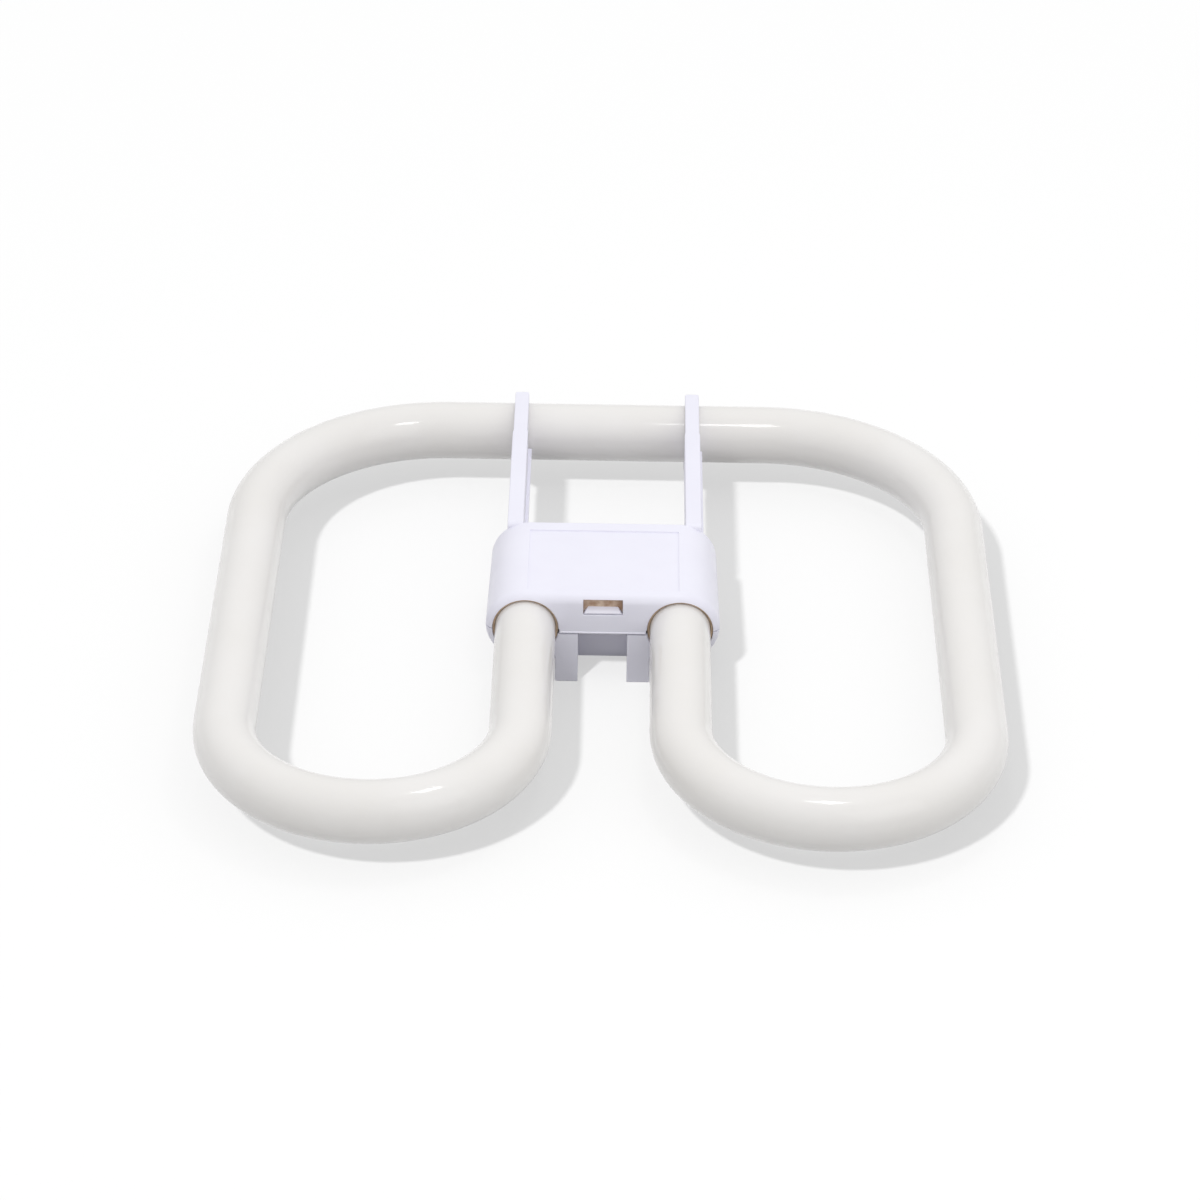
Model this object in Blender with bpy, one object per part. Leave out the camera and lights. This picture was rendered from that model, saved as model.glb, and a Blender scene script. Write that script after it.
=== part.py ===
"""Square compact fluorescent lamp: a double-D glass tube, a four-pin cap between its inner limbs,
and two arms that run from the cap to the far limb and clip round it.

X runs across the lamp, Y from the near bends to the far limb, Z up. The origin lies on the floor
under the middle of the lamp. Run it with: blender --background --python part.py
"""

import math

import bmesh
import bpy
from mathutils import Matrix, Vector

MM = 0.001

# Glass tube
tube_diameter = 16.0 * MM
lamp_width = 207.0 * MM
lamp_depth = 205.0 * MM
inner_limb_spacing = 40.8 * MM
far_bend_radius = 51.0 * MM
seal_inset = 23.6 * MM
seal_shoulder = 3.0 * MM
exhaust_tip_radius = 1.5 * MM
exhaust_tip_length = 5.0 * MM
exhaust_nose_radius = 0.9 * MM
exhaust_nose_length = 1.2 * MM

# Cap shell, in two halves that part at the height of the tube's axis
cap_front_y = -9.6 * MM
cap_length = 37.6 * MM
cap_wall = 1.3 * MM
shell_gap = 1.2 * MM
mouth_gap = 0.7 * MM
side_draft = 0.6 * MM
rim_radius = 1.0 * MM
seam_gap = 0.3 * MM
fit_gap = 0.3 * MM
fascia_drop = 1.2 * MM
hollow_overlap = 3.0 * MM
rib_inset = 15.6 * MM
rib_thickness = 1.4 * MM

# Shallow field on the cover's top
panel_width = 40.0 * MM
panel_front_margin = 3.2 * MM
panel_back_margin = 4.5 * MM
panel_depth = 0.35 * MM

# Snap windows of the cover and the teeth of the base that hold in them
window_width = 10.4 * MM
window_height = 4.6 * MM
window_lintel = 1.1 * MM
tongue_thickness = 1.2 * MM
tongue_setback = 0.1 * MM
tongue_overlap = 0.4 * MM
tongue_headroom = 0.4 * MM
tooth_rise = 1.7 * MM
tooth_land = 0.3 * MM
tooth_taper = 1.0 * MM
back_tongue_drop = 5.0 * MM

# Socket block under the cap, with the recess that takes the lampholder
block_width = 25.0 * MM
block_depth = 16.4 * MM
block_length = 32.0 * MM
block_corner = 0.45 * MM
recess_width = 13.0 * MM
recess_length = 12.9 * MM
recess_roof = 1.0 * MM
pocket_length = 5.2 * MM
pocket_height = 8.0 * MM
pin_wall = 2.0 * MM

# Contact pins
pin_diameter = 2.0 * MM
pin_spacing_x = 8.0 * MM
pin_spacing_z = 3.8 * MM
pin_rise = 0.2 * MM
pin_reach = 7.4 * MM
pin_collar_radius = 1.6 * MM
pin_collar_thickness = 0.8 * MM
pin_tail_radius = 0.8 * MM
pin_tail_length = 2.0 * MM

# Lead wires
wire_diameter = 0.8 * MM
wire_spread = 2.8 * MM
wire_bow = 8.0 * MM

# Cement beads
bead_gap = 0.25 * MM
bead_length = 5.0 * MM

# Arms and their clips
arm_spacing = 48.0 * MM
arm_width = 4.3 * MM
finger_width = 3.9 * MM
finger_length = 18.0 * MM
finger_overhang = 4.5 * MM
finger_rounding = 0.6 * MM
arm_root_depth = 0.9 * MM
arm_root_rise = 0.2 * MM
arm_lip_width = 0.9 * MM
arm_lip_height = 1.2 * MM
arm_lip_root = 0.6 * MM
arm_lip_lift = 0.05 * MM
arm_lip_clearance = 1.5 * MM
gusset_length = 5.5 * MM
gusset_angle = math.radians(215.0)
jaw_angle = math.radians(290.0)

# How far a cutting shape runs past the face that it cuts
cut_margin = 1.0 * MM
wide_margin = 5.0 * MM
skirt_setback = 0.2 * MM

# Facets of the round forms
tube_sides = 32
far_bend_steps = 12
near_bend_steps = 20
seal_steps = 4
shoulder_steps = 10
rim_steps = 3
hole_sides = 40
pin_sides = 20
pin_hole_sides = 16
pin_nose_steps = 4
jaw_steps = 7
corner_steps = 2
seat_steps = 22
finger_steps = 3
wire_steps = 12
sharp_angle = math.radians(30.0)
tolerance = 0.001 * MM

# Lines and radii that follow from the sizes above
tube_radius = tube_diameter / 2
axis_z = block_depth
limb_x = inner_limb_spacing / 2
outer_limb_x = lamp_width / 2 - tube_radius
far_limb_y = lamp_depth / 2 - tube_radius
near_limb_y = -far_limb_y
near_bend_radius = (outer_limb_x - limb_x) / 2
seal_y = cap_front_y + seal_inset
cap_back_y = cap_front_y + cap_length
inner_radius = tube_radius + shell_gap
shell_radius = inner_radius + cap_wall
mouth_radius = tube_radius + mouth_gap
top_z = axis_z + shell_radius
rib_y = cap_front_y + rib_inset
inner_front_y = cap_front_y + cap_wall
inner_back_y = cap_back_y - cap_wall
fascia_half_width = limb_x - mouth_radius - fit_gap
fascia_z = axis_z - fascia_drop
recess_back_y = cap_front_y + recess_length
roof_z = axis_z - seam_gap - recess_roof
pocket_floor_z = roof_z - pocket_height
pocket_back_y = recess_back_y + pocket_length
pin_wall_back_y = pocket_back_y + pin_wall
pin_mid_z = (roof_z + pocket_floor_z) / 2 + pin_rise
window_top_z = top_z - window_lintel
window_bottom_z = window_top_z - window_height


def material(name, colour, roughness, metallic=0.0):
    """A plain Principled material."""
    made = bpy.data.materials.new(name)
    made.use_nodes = True
    shader = made.node_tree.nodes["Principled BSDF"]
    shader.inputs["Base Color"].default_value = (*colour, 1.0)
    shader.inputs["Roughness"].default_value = roughness
    shader.inputs["Metallic"].default_value = metallic
    return made


def add_object(name, mesh_data, finish=None):
    """Put a bmesh into the scene as a named object."""
    mesh = bpy.data.meshes.new(name)
    bmesh.ops.recalc_face_normals(mesh_data, faces=mesh_data.faces)
    mesh_data.to_mesh(mesh)
    mesh_data.free()
    made = bpy.data.objects.new(name, mesh)
    bpy.context.scene.collection.objects.link(made)
    if finish:
        mesh.materials.append(finish)
        mesh.shade_smooth()
        mesh.set_sharp_from_angle(angle=sharp_angle)
    return made


def tool_object(name, mesh_data):
    """A shape that only cuts or joins, hidden from the render."""
    made = add_object(name, mesh_data)
    made.hide_render = True
    made.display_type = "WIRE"
    return made


def combine(target, tool, operation):
    """Boolean of a tool shape on a target."""
    step = target.modifiers.new(tool.name, "BOOLEAN")
    step.operation = operation
    step.solver = "EXACT"
    step.object = tool


def cut(target, tool):
    combine(target, tool, "DIFFERENCE")


def join(target, tool):
    combine(target, tool, "UNION")


def add_box(mesh_data, low, high):
    """A box between two corners."""
    low, high = Vector(low), Vector(high)
    place = Matrix.Translation((low + high) / 2) @ Matrix.Diagonal((*(high - low), 1.0))
    bmesh.ops.create_cube(mesh_data, size=1.0, matrix=place)


def box(low, high):
    made = bmesh.new()
    add_box(made, low, high)
    return made


def add_rod(mesh_data, centre_x, centre_z, radius, front_y, back_y, sides=hole_sides):
    """A cylinder that lies along Y."""
    place = (
        Matrix.Translation((centre_x, (front_y + back_y) / 2, centre_z))
        @ Matrix.Rotation(math.pi / 2, 4, "X")
    )
    bmesh.ops.create_cone(
        mesh_data,
        cap_ends=True,
        segments=sides,
        radius1=radius,
        radius2=radius,
        depth=back_y - front_y,
        matrix=place,
    )


def limb_rods(radius, front_y, back_y):
    """The same cylinder round both inner limbs."""
    made = bmesh.new()
    for side in (-1, 1):
        add_rod(made, side * limb_x, axis_z, radius, front_y, back_y)
    return made


def mouth_rods():
    """The two round openings in the cap's front wall."""
    return limb_rods(mouth_radius, cap_front_y - cut_margin, inner_front_y + cut_margin)


def saddle_rods():
    """The seats of the tube ends in the rib."""
    return limb_rods(
        tube_radius + fit_gap, rib_y - cut_margin, rib_y + rib_thickness + cut_margin
    )


def prism(outline, normal_axis, start, end):
    """Extrude a flat outline along X or Y. Points are (Y, Z) for X, and (X, Z) for Y."""
    made = bmesh.new()
    if normal_axis == "X":
        corners = [made.verts.new((start, a, b)) for a, b in outline]
        travel = Vector((end - start, 0, 0))
    else:
        corners = [made.verts.new((a, start, b)) for a, b in outline]
        travel = Vector((0, end - start, 0))
    face = made.faces.new(corners)
    grown = bmesh.ops.extrude_face_region(made, geom=[face])
    moved = [part for part in grown["geom"] if isinstance(part, bmesh.types.BMVert)]
    bmesh.ops.translate(made, verts=moved, vec=travel)
    return made


def split_at(mesh_data, point, normal):
    """Cut every face along a plane, with both sides kept."""
    everything = [*mesh_data.verts, *mesh_data.edges, *mesh_data.faces]
    bmesh.ops.bisect_plane(mesh_data, geom=everything, plane_co=point, plane_no=normal)


def arc(centre, radius, start, end, steps):
    """Points along an arc, both ends included, from one angle to another."""
    angles = [start + (end - start) * step / steps for step in range(steps + 1)]
    return [
        (centre[0] + radius * math.cos(angle), centre[1] + radius * math.sin(angle))
        for angle in angles
    ]


def half_stadium(radius, edge_z, upward):
    """Section of one half of the cap: a flat between two quarter rounds about the limbs."""
    turn = 1 if upward else -1
    rise = turn * (edge_z - axis_z)
    start = math.asin(max(rise, 0.0) / radius)
    right = arc((limb_x, axis_z), radius, turn * start, turn * math.pi / 2, shoulder_steps)
    if rise < 0:
        right.insert(0, (limb_x + radius, edge_z))
    left = [(-x, z) for x, z in reversed(right)]
    return right + left


def cap_half(radius, edge_z, upward, front_y, back_y, rim):
    """One half of the cap, solid, drawn in a little towards the back, with rounded end rims."""
    made = prism(half_stadium(radius, edge_z, upward), "Y", front_y, back_y)
    for corner in made.verts:
        depth = (corner.co.y - cap_front_y) / cap_length
        corner.co.x -= math.copysign(side_draft * depth, corner.co.x)
    if rim:
        ends = [
            edge
            for edge in made.edges
            if abs(edge.verts[0].co.y - edge.verts[1].co.y) < tolerance
            and any(abs(corner.co.z - edge_z) > tolerance for corner in edge.verts)
        ]
        bmesh.ops.bevel(
            made,
            geom=ends,
            offset=rim,
            segments=rim_steps,
            profile=0.5,
            affect="EDGES",
            material=-1,
        )
    return made


def inner_section(name, upward):
    """The hollow of one half, with the rib that steadies the tube ends left standing."""
    edge_z = axis_z - hollow_overlap if upward else axis_z + hollow_overlap
    hollow = tool_object(
        name,
        cap_half(inner_radius, edge_z, upward, inner_front_y, inner_back_y, None),
    )
    rib = tool_object(
        name + "_rib",
        box(
            (-lamp_width, rib_y, axis_z - 2 * shell_radius),
            (lamp_width, rib_y + rib_thickness, axis_z + 2 * shell_radius),
        ),
    )
    cut(hollow, rib)
    return hollow


def latch_tongue(name, end_y, inward, root_z, root_depth):
    """A tongue that closes a snap window from inside. Depths run inwards from the end face."""
    face = cap_wall + fit_gap + tongue_setback
    back = face + tongue_thickness
    head_z = axis_z + inner_radius - tongue_headroom
    step_z = axis_z - 2 * seam_gap
    outline = [
        (root_depth, root_z),
        (root_depth, step_z),
        (face, step_z),
        (face, head_z),
        (back, head_z),
        (back, root_z),
    ]
    if root_depth == face:
        outline = outline[:1] + outline[3:]
    half_width = window_width / 2 + tongue_overlap
    placed = [(end_y + inward * depth, z) for depth, z in outline]
    return tool_object(name, prism(placed, "X", -half_width, half_width))


def snap_tooth(name, end_y, inward):
    """The sloped tooth on a tongue. Its catch stands in the window just above the sill."""
    face = cap_wall + fit_gap + tongue_setback
    catch_z = window_bottom_z + fit_gap
    tip_z = catch_z + tooth_rise
    outline = [
        (face + tongue_thickness / 2, catch_z),
        (tongue_setback, catch_z),
        (tongue_setback, catch_z + tooth_land),
        (face, tip_z),
        (face + tongue_thickness / 2, tip_z),
    ]
    half_width = window_width / 2 - fit_gap
    placed = [(end_y + inward * depth, z) for depth, z in outline]
    made = prism(placed, "X", -half_width, half_width)
    taper_z = catch_z + tooth_land / 2
    split_at(made, (0, 0, taper_z), (0, 0, 1))
    for corner in made.verts:
        share = max(corner.co.z - taper_z, 0) / (tip_z - taper_z)
        corner.co.x -= math.copysign(tooth_taper * share, corner.co.x)
    return tool_object(name, made)


def discharge_tube(finish):
    """Half of the bent tube, grown ring by ring from its sealed end, and mirrored."""
    made = bmesh.new()
    tip_y = seal_y + exhaust_tip_length
    facing = Matrix.Rotation(math.pi / 2, 4, "X")
    bmesh.ops.create_circle(
        made,
        cap_ends=True,
        segments=tube_sides,
        radius=exhaust_nose_radius,
        matrix=Matrix.Translation((limb_x, tip_y, axis_z)) @ facing,
    )
    ring = list(made.edges)

    def grow(edges, place):
        grown = bmesh.ops.extrude_edge_only(made, edges=edges)
        fresh = {part for part in grown["geom"] if isinstance(part, bmesh.types.BMVert)}
        for corner in fresh:
            corner.co = place(corner.co)
        return [
            part
            for part in grown["geom"]
            if isinstance(part, bmesh.types.BMEdge) and fresh.issuperset(part.verts)
        ]

    def to_ring(radius, y):
        def place(point):
            flat = Vector((point.x - limb_x, point.z - axis_z))
            flat = flat.normalized() * radius
            return Vector((limb_x + flat.x, y, axis_z + flat.y))

        return place

    ring = grow(ring, to_ring(exhaust_tip_radius, tip_y - exhaust_nose_length))
    ring = grow(ring, to_ring(exhaust_tip_radius, seal_y))
    flat_radius = tube_radius - seal_shoulder
    for radial, depth in arc((flat_radius, 0), seal_shoulder, math.pi / 2, 0, seal_steps):
        ring = grow(ring, to_ring(radial, seal_y - seal_shoulder + depth))

    def shift(vector):
        return lambda point: point + Vector(vector)

    def bend(edges, centre, angle, steps):
        turned = bmesh.ops.spin(
            made,
            geom=edges,
            cent=centre,
            axis=(0, 0, 1),
            angle=angle,
            steps=steps,
            use_duplicate=False,
        )
        return [part for part in turned["geom_last"] if isinstance(part, bmesh.types.BMEdge)]

    near_y = near_limb_y + near_bend_radius
    far_y = far_limb_y - far_bend_radius
    ring = grow(ring, shift((0, near_y - (seal_y - seal_shoulder), 0)))
    ring = bend(ring, (limb_x + near_bend_radius, near_y, axis_z), math.pi, near_bend_steps)
    ring = grow(ring, shift((0, far_y - near_y, 0)))
    ring = bend(ring, (outer_limb_x - far_bend_radius, far_y, axis_z), math.pi / 2, far_bend_steps)
    ring = grow(ring, shift((far_bend_radius - outer_limb_x, 0, 0)))
    for edge in ring:
        for corner in edge.verts:
            corner.co.x = 0.0
    tube = add_object("discharge_tube", made, finish)
    mirror = tube.modifiers.new("other half", "MIRROR")
    mirror.use_axis[0] = True
    mirror.use_mirror_merge = True
    mirror.merge_threshold = tolerance
    return tube


def arm_outline():
    """Side view of an arm: a deep web from the cap, with a snap clip round the far limb."""
    centre = (far_limb_y, axis_z)
    seat_radius = tube_radius + fit_gap
    tip_angle = math.acos(finger_overhang / seat_radius)
    tip_y = far_limb_y + finger_overhang
    web_z = fascia_z
    root_y = cap_back_y - arm_root_depth
    drop_y = cap_back_y + fit_gap
    root_z = axis_z + arm_root_rise
    jaw_outside = arc(centre, shell_radius, gusset_angle, jaw_angle, jaw_steps)
    seat = arc(centre, seat_radius, jaw_angle, tip_angle, seat_steps)
    gusset_y = jaw_outside[0][0] - gusset_length
    rounding = arc(
        (tip_y - finger_rounding, top_z - finger_rounding),
        finger_rounding,
        0,
        math.pi / 2,
        finger_steps,
    )
    return [
        (root_y, root_z),
        (drop_y, root_z),
        (drop_y, web_z),
        (gusset_y, web_z),
        *jaw_outside,
        *seat,
        *rounding,
        (root_y, top_z),
    ]


def arm(name, centre_x):
    """An arm, with its finger a little narrower than its web."""
    made = prism(arm_outline(), "X", centre_x - arm_width / 2, centre_x + arm_width / 2)
    step_y = far_limb_y - finger_length
    for plane_y in (step_y, step_y + fit_gap):
        split_at(made, (0, plane_y, 0), (0, 1, 0))
    for corner in made.verts:
        if corner.co.y > step_y + fit_gap / 2:
            corner.co.x = centre_x + (corner.co.x - centre_x) * finger_width / arm_width
    return tool_object(name, made)


def arm_lip(name, centre_x):
    """The narrow lip along the lower right edge of an arm."""
    edge_x = centre_x + arm_width / 2
    end_y = far_limb_y - tube_radius - arm_lip_clearance
    return tool_object(
        name,
        box(
            (edge_x - arm_lip_root, cap_back_y + 2 * fit_gap, fascia_z + arm_lip_lift),
            (edge_x + arm_lip_width, end_y, fascia_z + arm_lip_height),
        ),
    )


def cap_cover(finish):
    """Upper half of the cap with the fascia, the windows, the field and both arms."""
    cover = add_object(
        "cap_cover",
        cap_half(shell_radius, fascia_z, True, cap_front_y, cap_back_y, rim_radius),
        finish,
    )
    cut(cover, inner_section("cover_hollow", True))
    below = fascia_z - wide_margin
    skirts = bmesh.new()
    add_box(
        skirts,
        (-lamp_width, inner_front_y + skirt_setback, below),
        (lamp_width, cap_back_y + wide_margin, axis_z),
    )
    cut(cover, tool_object("cover_skirt_trim", skirts))
    ends = bmesh.new()
    for side in (-1, 1):
        near, far = sorted((side * fascia_half_width, side * lamp_width))
        add_box(
            ends,
            (near, cap_front_y - wide_margin, below),
            (far, inner_front_y + 2 * skirt_setback, axis_z),
        )
    cut(cover, tool_object("cover_end_trim", ends))
    cut(cover, tool_object("cover_mouths", mouth_rods()))
    cut(cover, tool_object("cover_saddles", saddle_rods()))
    windows = bmesh.new()
    for face_y in (cap_front_y, cap_back_y):
        add_box(
            windows,
            (-window_width / 2, face_y - cap_wall - cut_margin, window_bottom_z),
            (window_width / 2, face_y + cap_wall + cut_margin, window_top_z),
        )
    cut(cover, tool_object("snap_windows", windows))
    cut(
        cover,
        tool_object(
            "top_field",
            box(
                (-panel_width / 2, cap_front_y + panel_front_margin, top_z - panel_depth),
                (panel_width / 2, cap_back_y - panel_back_margin, top_z + cut_margin),
            ),
        ),
    )
    for side, centre_x in (("left", -arm_spacing / 2), ("right", arm_spacing / 2)):
        join(cover, arm("arm_" + side, centre_x))
        join(cover, arm_lip("arm_lip_" + side, centre_x))
    return cover


def pin_places():
    """Centres of the four pins, as (X, Z)."""
    return [
        (across * pin_spacing_x / 2, pin_mid_z + up * pin_spacing_z / 2)
        for across in (-1, 1)
        for up in (-1, 1)
    ]


def base_hollow():
    """The hollow of the lower half: the shell and the block, less the socket housing."""
    hollow = inner_section("base_hollow", False)
    join(
        hollow,
        tool_object(
            "block_hollow",
            box(
                (-block_width / 2 + cap_wall, inner_front_y + skirt_setback, cap_wall),
                (
                    block_width / 2 - cap_wall,
                    cap_front_y + block_length - cap_wall,
                    axis_z - shell_radius / 2,
                ),
            ),
        ),
    )
    cut(
        hollow,
        tool_object(
            "socket_housing",
            box(
                (-recess_width / 2 - cap_wall, cap_front_y - cap_wall, -cap_wall),
                (recess_width / 2 + cap_wall, pin_wall_back_y, top_z),
            ),
        ),
    )
    return hollow


def socket_void():
    """The recess for the lampholder, with the deeper pocket that shields the pins."""
    before = cap_front_y - wide_margin
    outline = [
        (before, -wide_margin),
        (recess_back_y, -wide_margin),
        (recess_back_y, pocket_floor_z),
        (pocket_back_y, pocket_floor_z),
        (pocket_back_y, roof_z),
        (before, roof_z),
    ]
    return prism(outline, "X", -recess_width / 2, recess_width / 2)


def socket_block():
    """The block under the cap, with its upright corners rounded as the mould leaves them."""
    made = box(
        (-block_width / 2, cap_front_y, 0),
        (block_width / 2, cap_front_y + block_length, axis_z - shell_radius / 2),
    )
    upright = [
        edge
        for edge in made.edges
        if abs(edge.verts[0].co.z - edge.verts[1].co.z) > tolerance
    ]
    bmesh.ops.bevel(
        made,
        geom=upright,
        offset=block_corner,
        segments=corner_steps,
        profile=0.5,
        affect="EDGES",
        material=-1,
    )
    return made


def cap_base(finish):
    """Lower half of the cap with the socket block and its snap tongues."""
    seam_z = axis_z - seam_gap
    base = add_object(
        "cap_base",
        cap_half(shell_radius, seam_z, False, cap_front_y, cap_back_y, rim_radius),
        finish,
    )
    join(base, tool_object("socket_block", socket_block()))
    cut(base, base_hollow())
    cut(base, tool_object("socket_void", socket_void()))
    notch_z = fascia_z - seam_gap
    cut(
        base,
        tool_object(
            "fascia_notch",
            box(
                (-fascia_half_width - seam_gap, cap_front_y - cut_margin, notch_z),
                (fascia_half_width + seam_gap, inner_front_y + fit_gap, axis_z + cut_margin),
            ),
        ),
    )
    cut(base, tool_object("base_mouths", mouth_rods()))
    cut(base, tool_object("base_saddles", saddle_rods()))
    holes = bmesh.new()
    for x, z in pin_places():
        add_rod(
            holes,
            x,
            z,
            pin_diameter / 2 + fit_gap,
            pocket_back_y - cut_margin,
            pin_wall_back_y + cut_margin,
            pin_hole_sides,
        )
    cut(base, tool_object("pin_holes", holes))
    front_face = cap_wall + fit_gap + tongue_setback
    join(base, latch_tongue("front_tongue", cap_front_y, 1, seam_z - recess_roof / 2, front_face))
    back_root_z = axis_z - back_tongue_drop
    join(base, latch_tongue("back_tongue", cap_back_y, -1, back_root_z, cap_wall / 2))
    join(base, snap_tooth("front_tooth", cap_front_y, 1))
    join(base, snap_tooth("back_tooth", cap_back_y, -1))
    return base


def turned(name, profile, centre_x, centre_z, finish, sides=pin_sides):
    """A body turned about an axis along Y, from a profile of (Y, radius) points."""
    made = bmesh.new()
    corners = [made.verts.new((centre_x, y, centre_z + radius)) for y, radius in profile]
    chain = [made.edges.new(pair) for pair in zip(corners, corners[1:])]
    bmesh.ops.spin(
        made,
        geom=[*corners, *chain],
        cent=(centre_x, 0, centre_z),
        axis=(0, 1, 0),
        angle=2 * math.pi,
        steps=sides,
        use_merge=True,
        use_duplicate=False,
    )
    bmesh.ops.remove_doubles(made, verts=made.verts, dist=tolerance)
    return add_object(name, made, finish)


def contact_pin(number, x, z, finish):
    """A turned pin with a rounded tip, a collar behind the wall and a tail for its wire."""
    tip_y = pocket_back_y - pin_reach
    radius = pin_diameter / 2
    collar_y = pin_wall_back_y + fit_gap
    tail_y = collar_y + pin_collar_thickness
    nose = [
        (tip_y + radius - depth, radial)
        for radial, depth in arc((0, 0), radius, math.pi / 2, 0, pin_nose_steps)
    ]
    profile = [
        *nose,
        (collar_y, radius),
        (collar_y, pin_collar_radius),
        (tail_y, pin_collar_radius),
        (tail_y, pin_tail_radius),
        (tail_y + pin_tail_length, pin_tail_radius),
        (tail_y + pin_tail_length, 0),
    ]
    return turned(f"contact_pin_{number}", profile, x, z, finish)


def lead_wire(number, pin_x, pin_z, finish):
    """A wire from the tube's seal, above or below its exhaust tip, to the tail of its pin."""
    tail_end_y = pin_wall_back_y + fit_gap + pin_collar_thickness + pin_tail_length
    start_x = math.copysign(limb_x, pin_x)
    start_z = axis_z + math.copysign(wire_spread, pin_z - pin_mid_z)
    line = bpy.data.curves.new(f"lead_wire_{number}", "CURVE")
    line.dimensions = "3D"
    line.bevel_depth = wire_diameter / 2
    line.bevel_resolution = 1
    line.resolution_u = wire_steps
    line.use_fill_caps = True
    spline = line.splines.new("BEZIER")
    spline.bezier_points.add(1)
    places = (
        (start_x, seal_y + fit_gap, start_z),
        (pin_x, tail_end_y + fit_gap, pin_z),
    )
    for point, place, way in zip(spline.bezier_points, places, (1, -1)):
        point.handle_left_type = point.handle_right_type = "FREE"
        point.co = place
        point.handle_right = Vector(place) + Vector((0, way * wire_bow, 0))
        point.handle_left = Vector(place) - Vector((0, way * wire_bow, 0))
    line.materials.append(finish)
    wire = bpy.data.objects.new(line.name, line)
    bpy.context.scene.collection.objects.link(wire)
    return wire


def cement_bead(side_name, side, finish):
    """A ring of basing cement between the tube and the shell, just inside the mouth."""
    front_y = inner_front_y + fit_gap
    inner = tube_radius + bead_gap
    outer = inner_radius - bead_gap
    profile = [
        (front_y, inner),
        (front_y, outer),
        (front_y + bead_length, outer),
        (front_y + bead_length, inner),
        (front_y, inner),
    ]
    return turned(f"cement_bead_{side_name}", profile, side * limb_x, axis_z, finish, tube_sides)


def build():
    for old in list(bpy.data.objects):
        bpy.data.objects.remove(old, do_unlink=True)
    glass = material("coated_glass", (0.86, 0.85, 0.83), 0.12)
    plastic = material("cap_plastic", (0.87, 0.86, 0.93), 0.35)
    cement = material("basing_cement", (0.42, 0.27, 0.16), 0.9)
    brass = material("pin_brass", (0.72, 0.53, 0.24), 0.25, 1.0)
    copper = material("wire_metal", (0.62, 0.45, 0.36), 0.35, 1.0)

    discharge_tube(glass)
    cap_cover(plastic)
    cap_base(plastic)
    for side_name, side in (("left", -1), ("right", 1)):
        cement_bead(side_name, side, cement)
    for number, (x, z) in enumerate(pin_places(), start=1):
        contact_pin(number, x, z, brass)
        lead_wire(number, x, z, copper)


build()
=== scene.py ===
# %% [markdown]
# # A square fluorescent lamp
# The lamp is one long glass tube, bent into two D shapes that share a far limb. Its two ends meet
# in a small plastic cap, and two arms reach from the cap to the far limb and clip round it.
#
# The engineering model is loaded first. It fixes every size and place. This script gives its pieces
# rounder forms, softened edges and real materials, and then sets them in a small photo studio.
# %% Load the engineering model
import math

import bmesh
import bpy
from mathutils import Matrix, Vector


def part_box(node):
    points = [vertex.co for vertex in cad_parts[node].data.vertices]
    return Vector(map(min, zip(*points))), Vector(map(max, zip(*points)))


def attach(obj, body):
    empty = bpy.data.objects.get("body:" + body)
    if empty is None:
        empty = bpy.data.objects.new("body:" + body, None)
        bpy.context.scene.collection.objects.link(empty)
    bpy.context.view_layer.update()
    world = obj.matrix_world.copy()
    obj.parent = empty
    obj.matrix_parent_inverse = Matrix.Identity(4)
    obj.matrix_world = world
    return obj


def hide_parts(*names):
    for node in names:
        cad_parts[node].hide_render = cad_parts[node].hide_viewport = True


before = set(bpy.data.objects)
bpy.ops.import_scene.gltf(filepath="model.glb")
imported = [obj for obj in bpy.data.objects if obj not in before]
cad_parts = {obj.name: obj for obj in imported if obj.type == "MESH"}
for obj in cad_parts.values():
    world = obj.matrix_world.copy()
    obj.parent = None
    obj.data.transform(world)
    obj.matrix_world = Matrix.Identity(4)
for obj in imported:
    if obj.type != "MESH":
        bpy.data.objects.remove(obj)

MM = 0.001
scene = bpy.context.scene
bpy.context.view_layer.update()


def mm(length):
    """A length in millimetres, for the prints."""
    return round(length / MM, 2)


# %% [markdown]
# ## Sizes
# What the engineering model can tell is read from the boxes of its nodes: how thick the tube is,
# how far it reaches, where the cap ends and how high the tube's axis lies. The rest are the lamp's
# own sizes in millimetres, and each is defined where it is first needed.
# %% Read the sizes
tube_low, tube_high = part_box("discharge_tube")
cover_low, cover_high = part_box("cap_cover")
base_low, base_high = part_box("cap_base")

tube_radius = (tube_high.z - tube_low.z) / 2
axis_z = (tube_high.z + tube_low.z) / 2
outer_limb_x = tube_high.x - tube_radius
far_limb_y = tube_high.y - tube_radius
near_limb_y = tube_low.y + tube_radius
cap_front_y = cover_low.y
cap_back_y = base_high.y
cap_length = cap_back_y - cap_front_y
top_z = cover_high.z
foot_z = base_low.z
shell_radius = top_z - axis_z
limb_x = 20.4 * MM
print("tube", mm(2 * tube_radius), "mm thick, its axis", mm(axis_z), "mm up")
print("cap", mm(cap_length), "mm long and", mm(top_z - foot_z), "mm high")

# %% [markdown]
# ## Three ways to make a form
# Each piece of this lamp was made in one of three ways, and each way has a helper here. Glass is
# drawn along a path, so a ring of edges is extruded, placed, and extruded again. Pins and cement
# rings are turned, so a profile is spun about an axis. Moulded walls are flat outlines that are
# pushed through a thickness. All three use mesh operators, so a change of size changes the form.
# %% Drawn forms
tiny = 0.01 * MM
merge_distance = 0.001 * MM


def everything(shape):
    """All the corners, edges and faces of a shape."""
    return [*shape.verts, *shape.edges, *shape.faces]


def corners_of(parts):
    """The corners among what an operator gives back."""
    return [part for part in parts if isinstance(part, bmesh.types.BMVert)]


def edges_of(parts):
    """The edges among what an operator gives back."""
    return [part for part in parts if isinstance(part, bmesh.types.BMEdge)]


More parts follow.
